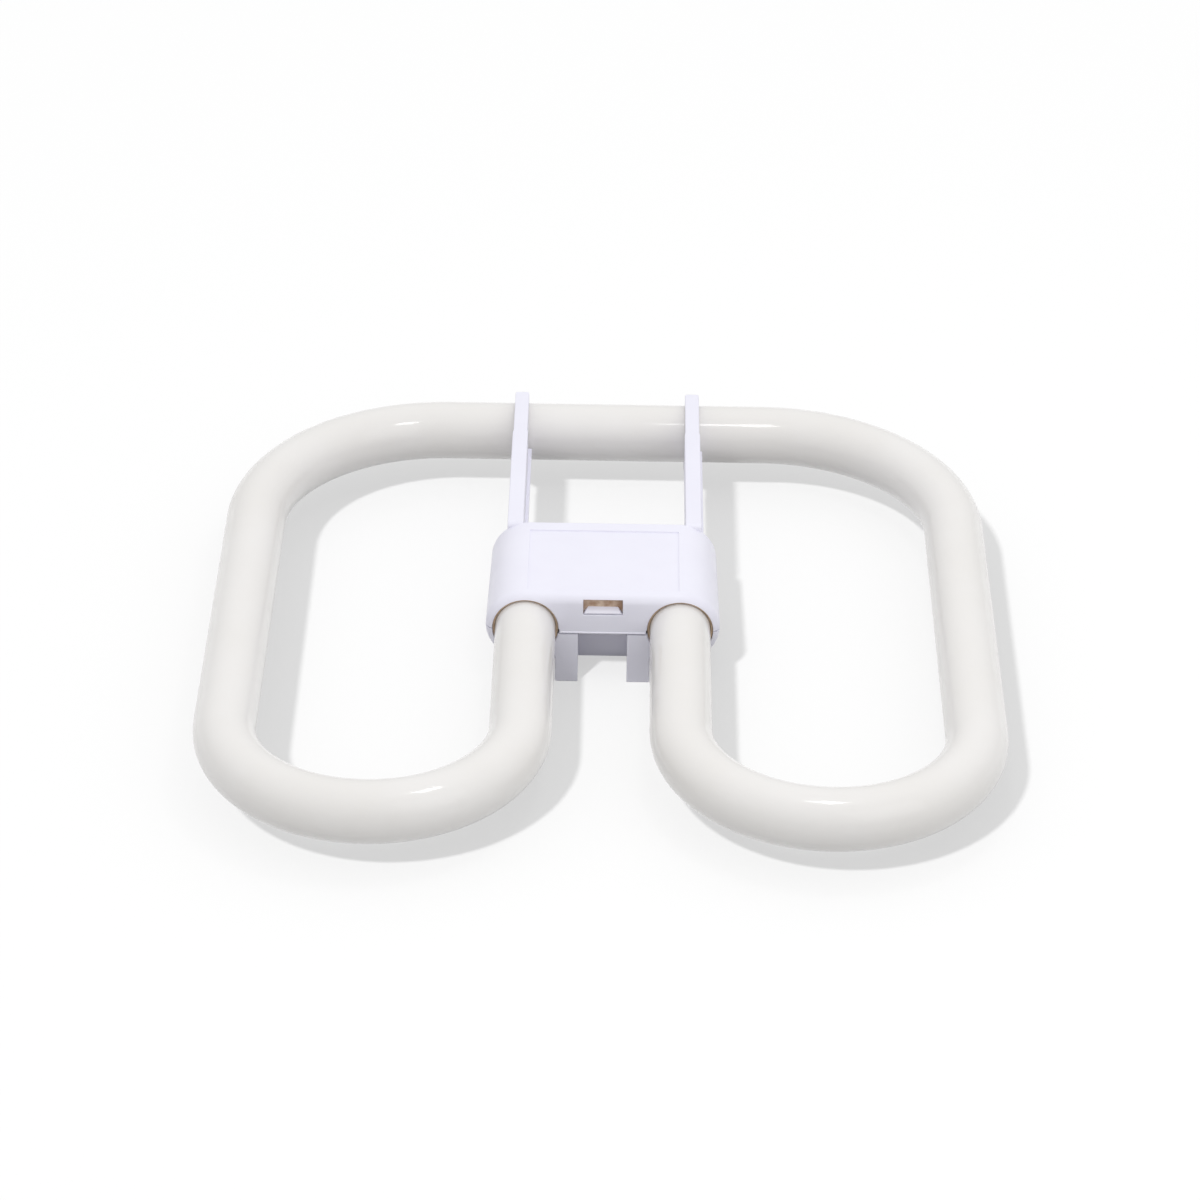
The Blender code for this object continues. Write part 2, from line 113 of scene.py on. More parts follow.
def grow(shape, ring, place):
    """Extrude a ring of edges, and put each new corner where the place function says."""
    grown = bmesh.ops.extrude_edge_only(shape, edges=ring)["geom"]
    fresh = set(corners_of(grown))
    for corner in fresh:
        corner.co = place(corner.co)
    return [edge for edge in edges_of(grown) if fresh.issuperset(edge.verts)]


def face_outwards(shape):
    """Turn every face outwards, and give the shape back."""
    bmesh.ops.recalc_face_normals(shape, faces=shape.faces)
    return shape


def arc(centre, radius, start, end, steps):
    """Points along an arc from one angle to another, both ends included."""
    angles = [start + (end - start) * step / steps for step in range(steps + 1)]
    return [
        (centre[0] + radius * math.cos(angle), centre[1] + radius * math.sin(angle))
        for angle in angles
    ]


print("an eighth of a turn in 4 steps:", len(arc((0, 0), 1, 0, math.pi / 4, 4)), "points")


# %% Turned forms
def turned(profile, centre_x, centre_z, sides):
    """Spin a profile of (Y, radius) points about an axis that lies along Y."""
    shape = bmesh.new()
    corners = [shape.verts.new((centre_x, y, centre_z + radius)) for y, radius in profile]
    chain = [shape.edges.new(pair) for pair in zip(corners, corners[1:])]
    bmesh.ops.spin(
        shape,
        geom=[*corners, *chain],
        cent=(centre_x, 0, centre_z),
        axis=(0, 1, 0),
        angle=2 * math.pi,
        steps=sides,
        use_merge=True,
        use_duplicate=False,
    )
    bmesh.ops.remove_doubles(shape, verts=shape.verts, dist=merge_distance)
    return face_outwards(shape)


def rod(centre_x, centre_z, radius, front_y, back_y, sides):
    """A plain round rod along Y."""
    profile = [(front_y, 0), (front_y, radius), (back_y, radius), (back_y, 0)]
    return turned(profile, centre_x, centre_z, sides)


trial = rod(0, 0, MM, 0, MM, 24)
print("a rod of 24 sides has", len(trial.faces), "faces")
trial.free()


# %% Pushed forms
def round_edges(shape, edges, width, steps):
    """Give edges a small radius, as the polished edge of a mould leaves it."""
    bmesh.ops.bevel(
        shape,
        geom=list(edges),
        offset=width,
        segments=steps,
        profile=0.5,
        affect="EDGES",
        material=-1,
        clamp_overlap=True,
    )


def prism(outline, along, start, end):
    """Push a flat outline along X or Y. Its points are (Y, Z) for X, and (X, Z) for Y."""
    shape = bmesh.new()
    if along == "X":
        corners = [shape.verts.new((start, a, b)) for a, b in outline]
        travel = Vector((end - start, 0, 0))
    else:
        corners = [shape.verts.new((a, start, b)) for a, b in outline]
        travel = Vector((0, end - start, 0))
    grown = bmesh.ops.extrude_face_region(shape, geom=[shape.faces.new(corners)])
    bmesh.ops.translate(shape, verts=corners_of(grown["geom"]), vec=travel)
    return face_outwards(shape)


def box(low, high, rounding=0.0, steps=3):
    """A box between two corners, with rounded edges where a rounding is given."""
    low, high = Vector(low), Vector(high)
    shape = bmesh.new()
    place = Matrix.Translation((low + high) / 2) @ Matrix.Diagonal((*(high - low), 1.0))
    bmesh.ops.create_cube(shape, size=1.0, matrix=place)
    if rounding:
        round_edges(shape, shape.edges, rounding, steps)
    return shape


trial = box((0, 0, 0), (MM, MM, MM), 0.2 * MM)
print("a box with rounded edges has", len(trial.faces), "faces")
trial.free()

# %% [markdown]
# ## Cutting and joining
# The cap's walls are cut by Boolean tools. An edge is hard to round once it has been cut, so a tool
# carries the lip of its opening instead, and flares out where it passes through the wall's face.
# A tool also brings its own material to the faces that it leaves. That is how the inside of the cap
# gets another finish than the outside.
# %% Boolean helpers
flat_angle = math.radians(0.3)
sharp_angle = math.radians(60.0)
soft_steps = 3


def add_object(name, data):
    """An object in the scene, at the origin and unturned."""
    made = bpy.data.objects.new(name, data)
    scene.collection.objects.link(made)
    return made


def as_mesh(name, shape, finishes):
    """Turn a shape into a mesh with its finishes."""
    mesh = bpy.data.meshes.new(name)
    shape.to_mesh(mesh)
    shape.free()
    for finish in finishes:
        mesh.materials.append(finish)
    return mesh


def cut(tool_shape, finish):
    """A step for carve: take a shape away."""
    return "DIFFERENCE", tool_shape, finish


def join(tool_shape, finish):
    """A step for carve: add a shape."""
    return "UNION", tool_shape, finish


def put_in_order(shape):
    """Sort a shape's parts by place, because a Boolean's order changes from run to run."""

    def place_of(part):
        return sorted(tuple(corner.co) for corner in getattr(part, "verts", [part]))

    for parts in (shape.verts, shape.edges, shape.faces):
        rank = {part: number for number, part in enumerate(sorted(parts, key=place_of))}
        parts.sort(key=rank.get)


def carve(shape, finish, steps):
    """Cut and join shapes in turn. Gives the new shape and its finishes."""
    block = add_object("block", as_mesh("block", shape, [finish]))
    tools = []
    for operation, tool_shape, tool_finish in steps:
        tool = add_object("tool", as_mesh("tool", tool_shape, [tool_finish]))
        step = block.modifiers.new("step", "BOOLEAN")
        step.operation = operation
        step.solver = "EXACT"
        step.material_mode = "TRANSFER"
        step.object = tool
        tools.append(tool)
    bpy.context.view_layer.update()
    seen = block.evaluated_get(bpy.context.evaluated_depsgraph_get())
    mesh = bpy.data.meshes.new_from_object(seen)
    finishes = list(mesh.materials)
    made = bmesh.new()
    made.from_mesh(mesh)
    for old in [block, *tools]:
        bpy.data.objects.remove(old, do_unlink=True)
    bpy.data.meshes.remove(mesh)
    put_in_order(made)
    bmesh.ops.remove_doubles(made, verts=made.verts, dist=merge_distance)
    bmesh.ops.dissolve_limit(
        made, angle_limit=flat_angle, verts=made.verts, edges=made.edges, delimit={"MATERIAL"}
    )
    return made, finishes


def soften(shape, wanted, width):
    """Round the sharp edges that the wanted function picks, and count them."""
    picked = [
        edge
        for edge in shape.edges
        if edge.is_manifold and edge.calc_face_angle(0) > sharp_angle and wanted(edge)
    ]
    round_edges(shape, picked, width, soft_steps)
    return len(picked)


def lies(edge, axis, value):
    """Whether both ends of an edge have this value on this axis."""
    return all(abs(corner.co[axis] - value) < tiny for corner in edge.verts)


print("corners closer than", merge_distance / MM, "mm are merged after each carving")

# %% [markdown]
# ## Effects that several finishes share
# Real surfaces are never one flat colour. Three small node groups hold what the materials have in
# common. One drifts slowly from one colour to another, as a powder coat or a moulding does. One
# gives a fine grain, as a height for bumps. One gives the roughness of a surface that hands have
# touched. They read object coordinates, so they stay put on the piece from every side.
# %% Node helpers
def feed(tree, socket, value):
    """Link a socket to another socket, or give it a plain value."""
    if isinstance(value, bpy.types.NodeSocket):
        tree.links.new(value, socket)
    else:
        socket.default_value = value


def feed_all(tree, node, **inputs):
    """Feed inputs by name. Where a socket's name has a space, its name here has a low line."""
    for name, value in inputs.items():
        feed(tree, node.inputs[name.replace("_", " ")], value)


def add_node(tree, kind, settings=None, **inputs):
    """A node with its settings and its inputs."""
    node = tree.nodes.new("ShaderNode" + kind)
    for name, value in (settings or {}).items():
        setattr(node, name, value)
    feed_all(tree, node, **inputs)
    return node


def math_node(tree, operation, first, second):
    """One step of arithmetic on two values."""
    node = add_node(tree, "Math", {"operation": operation})
    feed(tree, node.inputs[0], first)
    feed(tree, node.inputs[1], second)
    return node.outputs[0]


def mix_colour(tree, factor, first, second):
    """A blend of two colours, which a Mix node takes in its sockets 6 and 7."""
    node = add_node(tree, "Mix", {"data_type": "RGBA"})
    for number, value in ((0, factor), (6, first), (7, second)):
        feed(tree, node.inputs[number], value)
    return node.outputs[2]


def noise(tree, place, **inputs):
    """A soft noise, from 0 to 1."""
    return add_node(tree, "TexNoise", Vector=place, **inputs).outputs["Fac"]


def smooth_rise(tree, value, low, high):
    """Smoothly from 0 to 1, as a value goes from low to high."""
    settings = {"interpolation_type": "SMOOTHSTEP"}
    node = add_node(tree, "MapRange", settings, Value=value, From_Min=low, From_Max=high)
    return node.outputs[0]


def new_group(name, inputs, outputs):
    """A node group with sockets listed by kind. Gives also its inputs and its output node."""
    group = bpy.data.node_groups.new(name, "ShaderNodeTree")
    for direction, kinds in (("INPUT", inputs), ("OUTPUT", outputs)):
        for kind, names in kinds.items():
            for label in names:
                group.interface.new_socket(
                    name=label, in_out=direction, socket_type="NodeSocket" + kind
                )
    given = group.nodes.new("NodeGroupInput").outputs
    return group, given, group.nodes.new("NodeGroupOutput")


print("node helpers are ready")


# %% Slow drift
def slow_drift_group():
    """Blend two colours by a soft noise."""
    group, given, end = new_group(
        "slow_drift",
        {"Vector": ["Place"], "Float": ["Scale", "Amount"], "Color": ["Colour", "Drift Colour"]},
        {"Color": ["Colour"]},
    )
    cloud = noise(group, given["Place"], Scale=given["Scale"], Detail=3.0, Roughness=0.55)
    spread = smooth_rise(group, cloud, low=0.3, high=0.7)
    mask = math_node(group, "MULTIPLY", spread, given["Amount"])
    colour = mix_colour(group, mask, given["Colour"], given["Drift Colour"])
    feed_all(group, end, Colour=colour)
    return group


slow_drift = slow_drift_group()
print(slow_drift.name, "blends two colours")


# %% Fine grain
def fine_grain_group():
    """A grain of one size on a broader swell, as a height from 0 to 1."""
    group, given, end = new_group(
        "fine_grain",
        {"Vector": ["Place"], "Float": ["Grain Scale", "Swell Scale", "Swell Share"]},
        {"Float": ["Height", "Speckle"]},
    )
    place, share = given["Place"], given["Swell Share"]
    grain = noise(group, place, Scale=given["Grain Scale"], Detail=2.0, Roughness=0.6)
    swell = noise(group, place, Scale=given["Swell Scale"], Detail=1.0, Roughness=0.4)
    rise = math_node(group, "MULTIPLY", swell, share)
    fine = math_node(group, "MULTIPLY", grain, math_node(group, "SUBTRACT", 1.0, share))
    height = math_node(group, "ADD", rise, fine)
    speckle = smooth_rise(group, grain, low=0.58, high=0.75)
    feed_all(group, end, Height=height, Speckle=speckle)
    return group


fine_grain = fine_grain_group()
print(fine_grain.name, "gives a height and a speckle")


# %% Handling marks
def handling_marks_group():
    """A roughness that goes from its clean value to its smudged one in soft smudges."""
    group, given, end = new_group(
        "handling_marks",
        {"Vector": ["Place"], "Float": ["Clean Roughness", "Smudged Roughness", "Smudge Scale"]},
        {"Float": ["Roughness"]},
    )
    scale, clean = given["Smudge Scale"], given["Clean Roughness"]
    cloud = noise(group, given["Place"], Scale=scale, Detail=5.0, Roughness=0.65, Distortion=0.8)
    span = math_node(group, "SUBTRACT", given["Smudged Roughness"], clean)
    smudge = smooth_rise(group, cloud, low=0.45, high=0.72)
    change = math_node(group, "MULTIPLY", smudge, span)
    feed_all(group, end, Roughness=math_node(group, "ADD", change, clean))
    return group


handling_marks = handling_marks_group()
print(handling_marks.name, "gives a roughness")


# %% Materials are put together from the groups
def new_finish(name, metallic=0.0):
    """A material with its nodes, its shader and its object coordinates."""
    made = bpy.data.materials.new(name)
    made.use_nodes = True
    tree = made.node_tree
    shader = tree.nodes["Principled BSDF"]
    feed_all(tree, shader, Metallic=metallic)
    return made, tree, shader, add_node(tree, "TexCoord").outputs["Object"]


def use_group(tree, group, *values):
    """Place a group in a material, feed its inputs in order, and give its outputs."""
    node = add_node(tree, "Group", {"node_tree": group})
    for socket, value in zip(node.inputs, values, strict=True):
        feed(tree, socket, value)
    return node.outputs


def drifting(tree, place, scale, amount, colour, to):
    """A colour that drifts to another one."""
    return use_group(tree, slow_drift, place, scale, amount, (*colour, 1), (*to, 1))["Colour"]


def handled(tree, place, clean, smudged, scale):
    """A roughness with handling marks."""
    return use_group(tree, handling_marks, place, clean, smudged, scale)["Roughness"]


def grained(tree, place, scale, swell_scale, swell_share):
    """The height and the speckle of a fine grain."""
    return use_group(tree, fine_grain, place, scale, swell_scale, swell_share)


def add_bump(tree, shader, height, strength, depth):
    """Raise the surface by a height of 0 to 1 times a depth."""
    bump = add_node(tree, "Bump", Strength=strength, Distance=depth, Height=height)
    feed_all(tree, shader, Normal=bump.outputs["Normal"])


def report(finish):
    """Say how many nodes a finish has, and give it back."""
    print(finish.name, "has", len(finish.node_tree.nodes), "nodes")
    return finish


print("materials:", len(bpy.data.materials), "so far")

# %% [markdown]
# ## Coated glass
# The tube is clear glass, and what looks white is a coat of phosphor powder on its inner wall. The
# powder is warm white, a little thicker in some places than in others, with a very fine grain. Over
# it lies the smooth glass, which mirrors the lights sharply and is faintly smudged where it was
# held. See-through glass over an inner shell would be slow and noisy, so the shader has the two
# layers instead: a dull base for the powder, and a clear coat, thinner in the smudges, for the
# glass.
# %% Coated glass
speck_share = 0.25
speck_colour = (0.855, 0.845, 0.83, 1)
smooth_coat = 1.12


def coated_glass():
    made, tree, shader, place = new_finish("coated_glass")
    coat = drifting(
        tree, place, scale=34.0, amount=0.8, colour=(0.828, 0.812, 0.797), to=(0.804, 0.785, 0.762)
    )
    powder = grained(tree, place, scale=2600.0, swell_scale=55.0, swell_share=0.75)
    speck = math_node(tree, "MULTIPLY", powder["Speckle"], speck_share)
    marks = handled(tree, place, clean=0.36, smudged=0.48, scale=60.0)
    feed_all(
        tree,
        shader,
        Base_Color=mix_colour(tree, speck, coat, speck_colour),
        Roughness=marks,
        Coat_Weight=math_node(tree, "SUBTRACT", smooth_coat, marks),
        Specular_IOR_Level=0.25,
        Coat_Roughness=0.035,
        Coat_IOR=1.5,
    )
    add_bump(tree, shader, powder["Height"], strength=0.25, depth=0.05 * MM)
    return made


glass_finish = report(coated_glass())

# %% [markdown]
# ## Moulded plastic
# The cap and the arms are a hard white plastic with a cool lilac cast. The mould was spark-eroded,
# which leaves a very fine even grain and a satin gloss. The colour drifts a little with the flow of
# the melt, and handled places are a touch glossier in smudges. The grain is far too fine to model,
# so it is a bump about a tenth as deep as a hair is thick.
# %% Moulded plastic
def cap_plastic():
    made, tree, shader, place = new_finish("cap_plastic")
    flow = drifting(
        tree, place, scale=70.0, amount=0.7, colour=(0.848, 0.842, 0.938), to=(0.826, 0.818, 0.918)
    )
    marks = handled(tree, place, clean=0.40, smudged=0.30, scale=120.0)
    feed_all(tree, shader, Base_Color=flow, Roughness=marks)
    grain = grained(tree, place, scale=3200.0, swell_scale=90.0, swell_share=0.2)
    add_bump(tree, shader, grain["Height"], strength=0.35, depth=0.02 * MM)
    return made


plastic_finish = report(cap_plastic())

# %% [markdown]
# ## Basing cement, and the brown inside of the cap
# The tube ends are held by a tan cement that is baked hard. It is dull and gritty, and at this size
# a coarse bump stands for the grit. The inside faces of the cap, which show through the snap
# window,
# have a finish of their own: brown, running from light to dark brown in patches.
# %% Basing cement
grit_share = 0.5
grit_colour = (0.78, 0.64, 0.48, 1)


def basing_cement():
    made, tree, shader, place = new_finish("basing_cement")
    patches = drifting(
        tree, place, scale=500.0, amount=0.6, colour=(0.66, 0.50, 0.35), to=(0.42, 0.28, 0.18)
    )
    grit = grained(tree, place, scale=2200.0, swell_scale=400.0, swell_share=0.4)
    grains = math_node(tree, "MULTIPLY", grit["Speckle"], grit_share)
    colour = mix_colour(tree, grains, patches, grit_colour)
    feed_all(tree, shader, Base_Color=colour, Roughness=0.9)
    add_bump(tree, shader, grit["Height"], strength=0.8, depth=0.15 * MM)
    return made


cement_finish = report(basing_cement())


# %% Brown inside
def brown_inside():
    made, tree, shader, place = new_finish("brown_inside")
    # Every inside face of the cap is coloured brown, from light to dark brown in patches.
    brown_patches = drifting(
        tree, place, scale=420.0, amount=1.0, colour=(0.70, 0.55, 0.43), to=(0.42, 0.26, 0.17)
    )
    marks = handled(tree, place, clean=0.6, smudged=0.9, scale=300.0)
    feed_all(tree, shader, Base_Color=brown_patches, Roughness=marks)
    grit = grained(tree, place, scale=1800.0, swell_scale=300.0, swell_share=0.5)
    add_bump(tree, shader, grit["Height"], strength=0.5, depth=0.08 * MM)
    return made


inside_finish = report(brown_inside())

# %% [markdown]
# ## Brass and wire
# The pins are turned brass, so fine rings run round them, and the metal has dulled in patches. The
# rings are bands of a wave texture across the pins' axis, because a turning tool's marks are too
# fine to model. The lead wires are copper-clad and bare, with the dull spots that heat leaves.
# %% Turned brass
def pin_brass():
    made, tree, shader, place = new_finish("pin_brass", metallic=1.0)
    tarnish = drifting(
        tree, place, scale=700.0, amount=0.6, colour=(0.80, 0.60, 0.30), to=(0.62, 0.42, 0.20)
    )
    marks = handled(tree, place, clean=0.2, smudged=0.42, scale=900.0)
    feed_all(tree, shader, Base_Color=tarnish, Roughness=marks)
    bands = {"wave_type": "BANDS", "bands_direction": "Y", "wave_profile": "SIN"}
    rings = add_node(tree, "TexWave", bands, Vector=place, Scale=1600.0, Distortion=0.3)
    add_bump(tree, shader, rings.outputs["Fac"], strength=0.25, depth=0.01 * MM)
    return made


brass_finish = report(pin_brass())


# %% Copper-clad wire
def wire_metal():
    made, tree, shader, place = new_finish("wire_metal", metallic=1.0)
    spots = drifting(
        tree, place, scale=900.0, amount=0.8, colour=(0.70, 0.50, 0.40), to=(0.45, 0.30, 0.24)
    )
    marks = handled(tree, place, clean=0.28, smudged=0.5, scale=1200.0)
    feed_all(tree, shader, Base_Color=spots, Roughness=marks)
    return made


wire_finish = report(wire_metal())

# %% [markdown]
# ## How a piece is finished
# Every piece ends the same way. Faces without area, which Booleans leave, are dissolved. The mesh
# is shaded smooth with creases where the form is sharp, it rides on the lamp's one body, it gets
# its finishes in its material slots, and it takes the place of the node that it stands for.
# %% Finish a piece
crease_angle = math.radians(35.0)
even_weight = 50


def finish_piece(name, shape, finishes, node, even=False):
    """Make an object of a shape, and hide the node that it stands for."""
    bmesh.ops.dissolve_degenerate(shape, dist=merge_distance, edges=shape.edges)
    mesh = as_mesh(name, shape, finishes)
    mesh.shade_smooth()
    mesh.set_sharp_from_angle(angle=crease_angle)
    piece = add_object(name, mesh)
    if even:
        shading = piece.modifiers.new("even shading", "WEIGHTED_NORMAL")
        shading.keep_sharp = True
        shading.weight = even_weight
    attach(piece, "root")
    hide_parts(node)
    mesh.calc_loop_triangles()
    print(name, "has", len(mesh.loop_triangles), "triangles")


# %% [markdown]
# ## The glass tube
# The real tube is drawn straight, coated inside, heated and bent over a former. Here one half of
# it is made ring by ring from its sealed end: the stub of the exhaust tube, a rounded shoulder, the
# inner limb, the near bend, the outer limb, the far bend and half of the far limb. A curve with a
# round bevel would be quicker, but could not narrow to the seal. The spin operator carries the ring
# round each bend, and the other half is a mirror image.
# %% Sizes of the tube
tube_sides = 72
near_bend_steps = 64
far_bend_steps = 44
far_bend_radius = 51.0 * MM
near_bend_radius = (outer_limb_x - limb_x) / 2
seal_y = cap_front_y + 23.6 * MM
seal_shoulder = 3.0 * MM
seal_steps = 8
exhaust_tip_radius = 1.5 * MM
exhaust_tip_length = 5.0 * MM
exhaust_nose_radius = 0.9 * MM
exhaust_nose_length = 1.2 * MM
print("the near bends have a radius of", mm(near_bend_radius), "mm")


# %% Rings and bends
def ring_about_limb(radius, y):
    """Put a point on a circle about the right inner limb."""

    def place(point):
        way = Vector((point.x - limb_x, point.z - axis_z)).normalized() * radius
        return Vector((limb_x + way.x, y, axis_z + way.y))

    return place


def bend(shape, ring, centre, angle, steps):
    """Carry a ring round a bend."""
    carried = bmesh.ops.spin(
        shape, geom=ring, cent=centre, axis=(0, 0, 1), angle=angle, steps=steps, use_duplicate=False
    )
    return edges_of(carried["geom_last"])


def sealed_end(shape):
    """The exhaust stub and the shoulder. Gives the ring where the straight limb starts."""
    tip_y = seal_y + exhaust_tip_length
    bmesh.ops.create_circle(
        shape,
        cap_ends=True,
        segments=tube_sides,
        radius=exhaust_nose_radius,
        matrix=Matrix.Translation((limb_x, tip_y, axis_z)) @ Matrix.Rotation(math.pi / 2, 4, "X"),
    )
    ring = list(shape.edges)
    ring = grow(shape, ring, ring_about_limb(exhaust_tip_radius, tip_y - exhaust_nose_length))
    ring = grow(shape, ring, ring_about_limb(exhaust_tip_radius, seal_y))
    flat_radius = tube_radius - seal_shoulder
    for radial, depth in arc((flat_radius, 0), seal_shoulder, math.pi / 2, 0, seal_steps):
        ring = grow(shape, ring, ring_about_limb(radial, seal_y - seal_shoulder + depth))
    return ring


# %% Draw the tube
def tube_shape():
    shape = bmesh.new()
    near_y = near_limb_y + near_bend_radius
    far_y = far_limb_y - far_bend_radius
    ring = sealed_end(shape)
    ring = grow(shape, ring, ring_about_limb(tube_radius, near_y))
    near_centre = (limb_x + near_bend_radius, near_y, axis_z)
    ring = bend(shape, ring, near_centre, math.pi, near_bend_steps)
    ring = grow(shape, ring, lambda point: point + Vector((0, far_y - near_y, 0)))
    far_centre = (outer_limb_x - far_bend_radius, far_y, axis_z)
    ring = bend(shape, ring, far_centre, math.pi / 2, far_bend_steps)
    grow(shape, ring, lambda point: Vector((0, point.y, point.z)))
    bmesh.ops.mirror(shape, geom=everything(shape), axis="X", merge_dist=merge_distance)
    return face_outwards(shape)


finish_piece("glass_tube", tube_shape(), [glass_finish], "discharge_tube")

# %% [markdown]
# ## The section of the cap
# Both halves of the cap start from the same section: a flat between two quarter rounds about the
# inner limbs. The section narrows a little towards the back, which is the draft that lets a
# moulding leave its mould. Its end rims are rounded, the front one generously and the back one a
# little. Smaller copies of the section hollow it out in two chambers, so that a rib is left between
# them to steady the tube ends.
# %% Sizes of the cap
cap_wall = 1.3 * MM
side_draft = 0.6 * MM
fit_gap = 0.3 * MM
seam_gap = 0.3 * MM
margin = 1.0 * MM
overreach = 5.0 * MM
cut_step = 0.2 * MM
far_out = 300.0 * MM
shoulder_steps = 28
front_rim = 2.8 * MM
back_rim = 1.0 * MM
rim_steps = 10
rib_y = cap_front_y + 15.6 * MM
rib_thickness = 1.4 * MM
chamber_overlap = 3.0 * MM
inner_radius = shell_radius - cap_wall
inner_front_y = cap_front_y + cap_wall
inner_back_y = cap_back_y - cap_wall
fascia_z = axis_z - 1.2 * MM
seam_z = axis_z - seam_gap
print("the cap's walls are", mm(cap_wall), "mm thick")


# %% Half sections
def half_section(radius, edge_z, up):
    """Outline of one half. Up is 1 for the cover and -1 for the base."""
    rise = up * (edge_z - axis_z)
    start = math.asin(max(rise, 0.0) / radius)
    right = arc((limb_x, axis_z), radius, up * start, up * math.pi / 2, shoulder_steps)
    if rise < 0:
        right.insert(0, (limb_x + radius, edge_z))
    return right + [(-x, z) for x, z in reversed(right)]


def cap_half(radius, edge_z, up, front_y, back_y, rims=()):
    """One half of the cap, solid, narrowed towards the back. Rims are the end faces' roundings."""
    shape = prism(half_section(radius, edge_z, up), "Y", front_y, back_y)
    for corner in shape.verts:
        depth = (corner.co.y - cap_front_y) / cap_length
        corner.co.x -= math.copysign(side_draft * depth, corner.co.x)
    for end_y, rim in zip((front_y, back_y), rims):
        end_edges = [
            edge for edge in shape.edges if lies(edge, 1, end_y) and not lies(edge, 2, edge_z)
        ]
        round_edges(shape, end_edges, rim, rim_steps)
    return shape


def outside_half(edge_z, up):
    """The outside of one half, with its two rims."""
    return cap_half(shell_radius, edge_z, up, cap_front_y, cap_back_y, (front_rim, back_rim))


def chambers(up):
    """The two hollows of one half, before and behind the rib."""
    edge_z = axis_z - up * chamber_overlap
    return [
        cap_half(inner_radius, edge_z, up, front, back)
        for front, back in ((inner_front_y, rib_y), (rib_y + rib_thickness, inner_back_y))
    ]


print("a half section has", len(half_section(shell_radius, axis_z, 1)), "points")

# %% [markdown]
# ## The openings
# The tube ends pass through two round mouths in the front wall, and a snap window sits between
# them, with another in the back wall. Each opening has a small rounded lip. The mouth's tool is a
# turned trumpet. The window's tool is a square ring that is drawn inwards step by step, and flares
# in the same way.
# %% Mouths and saddles
mouth_radius = tube_radius + 0.7 * MM
mouth_lip = 0.4 * MM
mouth_sides = 96
saddle_sides = 64
lip_steps = 5


def lip_profile(face_y, inward, rounding):
    """(Y, outward offset) points of a rounded lip, from outside the face to below it."""
    quarter = arc((rounding, rounding), rounding, math.pi, 1.5 * math.pi, lip_steps)
    outside = (face_y - inward * margin, rounding)
    return [outside] + [(face_y + inward * depth, away) for depth, away in quarter]


def mouth_tool(side):
    """A trumpet-mouthed rod for one of the round mouths."""
    back_y = inner_front_y + margin
    lip = [(y, mouth_radius + away) for y, away in lip_profile(cap_front_y, 1, mouth_lip)]
    profile = [(lip[0][0], 0), *lip, (back_y, mouth_radius), (back_y, 0)]
    return turned(profile, side * limb_x, axis_z, mouth_sides)


def saddle_tool(side):
    """A rod that cuts the seat of a tube end in the rib."""
    back_y = rib_y + rib_thickness + margin
    radius = tube_radius + fit_gap
    return rod(side * limb_x, axis_z, radius, rib_y - margin, back_y, saddle_sides)


def tube_cuts():
    """The cuts that both halves need for the two tube ends."""
    mouths = [cut(mouth_tool(side), plastic_finish) for side in (-1, 1)]
    return mouths + [cut(saddle_tool(side), inside_finish) for side in (-1, 1)]


print("mouths are", mm(2 * mouth_radius), "mm wide")

# %% Snap windows
window_width = 10.4 * MM
window_height = 4.5 * MM
window_lip = 0.2 * MM
window_top_z = top_z - 1.4 * MM
window_bottom_z = window_top_z - window_height


def window_tool(face_y, inward):
    """A flared square tool. Inward is 1 from the front wall and -1 from the back wall."""
    middle_z = (window_top_z + window_bottom_z) / 2

    def ring_at(y, away):
        def place(point):
            across = math.copysign(window_width / 2 + away, point.x)
            height = math.copysign(window_height / 2 + away, point.z - middle_z)
            return Vector((across, y, middle_z + height))

        return place

    shape = bmesh.new()
    bmesh.ops.create_circle(
        shape,
        cap_ends=True,
        segments=4,
        radius=window_height,
        matrix=Matrix.Translation((0, face_y, middle_z))
        @ Matrix.Rotation(math.pi / 2, 4, "X")
        @ Matrix.Rotation(math.pi / 4, 4, "Z"),
    )
    lip = lip_profile(face_y, inward, window_lip)
    for corner in shape.verts:
        corner.co = ring_at(*lip[0])(corner.co)
    ring = list(shape.edges)
    for y, away in [*lip[1:], (face_y + inward * (cap_wall + margin), 0.0)]:
        ring = grow(shape, ring, ring_at(y, away))
    bmesh.ops.contextual_create(shape, geom=ring)
    return face_outwards(shape)


print("windows are", mm(window_width), "by", mm(window_height), "mm")

# %% [markdown]
# ## The arms
# Each arm is a deep, thin web that ends in a snap clip. The clip's lower jaw and upper finger close
# round the far limb by more than half a turn. The side view is one outline, which is pushed through
# the arm's thickness, and its edges are then rounded. The finger is a little narrower than the web
# and has a round end, and a narrow lip runs along the lower edge of each right flank.
# %% Side view of an arm
arm_spacing = 48.0 * MM
arm_width = 4.3 * MM
finger_width = 3.9 * MM
finger_length = 18.0 * MM
finger_overhang = 4.5 * MM
finger_rounding = 0.6 * MM
finger_start_y = far_limb_y - finger_length
finger_tip_y = far_limb_y + finger_overhang
root_bite = 0.05 * MM
root_lift = 0.2 * MM
root_rounding = 1.2 * MM
gusset_length = 5.5 * MM
gusset_angle = math.radians(215.0)
jaw_angle = math.radians(290.0)
jaw_steps = 24
seat_steps = 60
finger_steps = 6
root_steps = 8


